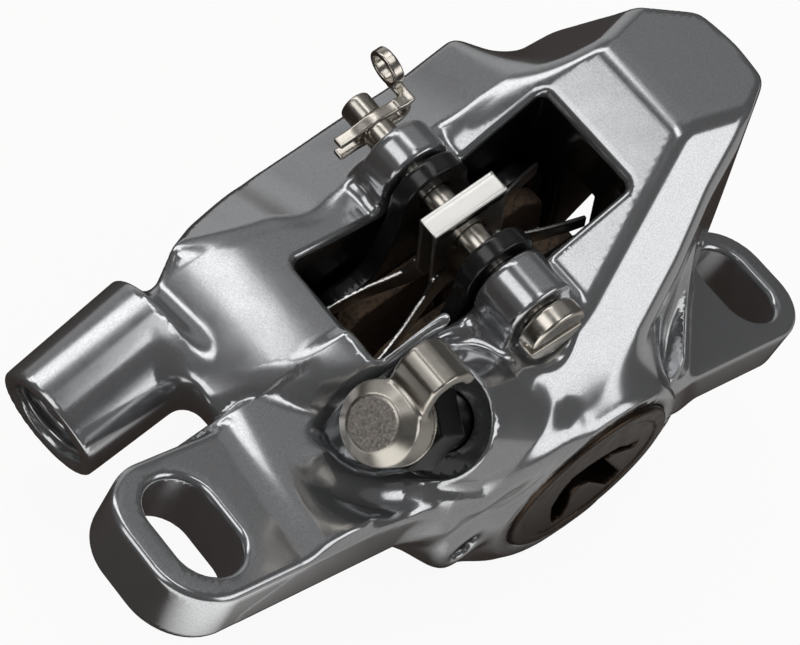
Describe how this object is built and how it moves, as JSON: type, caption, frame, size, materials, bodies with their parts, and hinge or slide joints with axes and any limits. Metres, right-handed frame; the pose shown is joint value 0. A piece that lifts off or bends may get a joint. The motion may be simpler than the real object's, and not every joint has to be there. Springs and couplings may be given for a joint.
{
  "type": "bicycle disc brake caliper",
  "caption": "Hydraulic post-mount disc brake caliper with opposed pistons, sliding pads on an axle, a pad spring, a bleed nipple and an angled hose port.",
  "frame": {"origin": "centre of the pattern of the two slotted bolt holes, on the plane of the tabs' undersides", "axes": "+X from the tab beside the hose port to the tab under the nose, +Y towards the wheel's hub side, where the axle's clip is, +Z out of the mounting plane towards the pad axle"},
  "size_m": [0.0862, 0.0375, 0.0448],
  "materials": {
    "caliper": "satin metallic grey paint with a fine flake",
    "bore_cap": "dark brown anodised, satin",
    "seal": "matte",
    "piston": "smooth",
    "plate": "satin black",
    "lining": "rough compound",
    "spring_steel": "satin",
    "satin_steel": "satin, warm grey",
    "bleed_cap": "satin, warm grey"
  },
  "bodies": {
    "caliper": {"caliper_body": "caliper", "bore_cap": "bore_cap", "bore_cap_seal": "seal", "outboard_piston_seal": "seal", "inboard_piston_seal": "seal", "pad_spring": "spring_steel"},
    "outboard_piston_body": {"outboard_piston": "piston"},
    "inboard_piston_body": {"inboard_piston": "piston"},
    "outboard_pad": {"outboard_backing_plate": "plate", "outboard_lining": "lining"},
    "inboard_pad": {"inboard_backing_plate": "plate", "inboard_lining": "lining"},
    "axle": {"pad_axle": "satin_steel"},
    "clip": {"axle_clip": "satin_steel"},
    "nipple": {"bleed_nipple": "satin_steel"},
    "nipple_cap": {"bleed_cap": "bleed_cap"}
  },
  "joints": [
    {"name": "outboard_piston_slide", "type": "slide", "parent": "caliper", "child": "outboard_piston_body", "axis": [0, 1, 0], "range_m": [0, 0.0007], "deforming": ["pad_spring"]},
    {"name": "inboard_piston_slide", "type": "slide", "parent": "caliper", "child": "inboard_piston_body", "axis": [0, -1, 0], "range_m": [0, 0.0007], "deforming": ["pad_spring"]},
    {"name": "outboard_pad_slide", "type": "slide", "parent": "caliper", "child": "outboard_pad", "axis": [0, 1, 0], "range_m": [0, 0.0007], "deforming": ["pad_spring"]},
    {"name": "inboard_pad_slide", "type": "slide", "parent": "caliper", "child": "inboard_pad", "axis": [0, -1, 0], "range_m": [0, 0.0007], "deforming": ["pad_spring"]},
    {"name": "axle_turn", "type": "hinge", "parent": "caliper", "child": "axle", "pos_m": [-0.00369, 0.01, 0.01819], "axis": [0, 1, 0], "continuous": true},
    {"name": "clip_pull", "type": "slide", "parent": "caliper", "child": "clip", "axis": [0.866, 0, 0.5], "range_m": [0, 0.008]},
    {"name": "nipple_turn", "type": "hinge", "parent": "caliper", "child": "nipple", "pos_m": [-0.0242, -0.0022, 0.015], "axis": [-0.915, 0, 0.4035], "range_deg": [0, 60]},
    {"name": "cap_pull", "type": "slide", "parent": "nipple", "child": "nipple_cap", "axis": [-0.915, 0, 0.4035], "range_m": [0, 0.009]}
  ],
  "couplings": [
    {"joint": "inboard_piston_slide", "follows": "outboard_piston_slide", "ratio": 1},
    {"joint": "outboard_pad_slide", "follows": "outboard_piston_slide", "ratio": 1},
    {"joint": "inboard_pad_slide", "follows": "outboard_piston_slide", "ratio": 1}
  ]
}
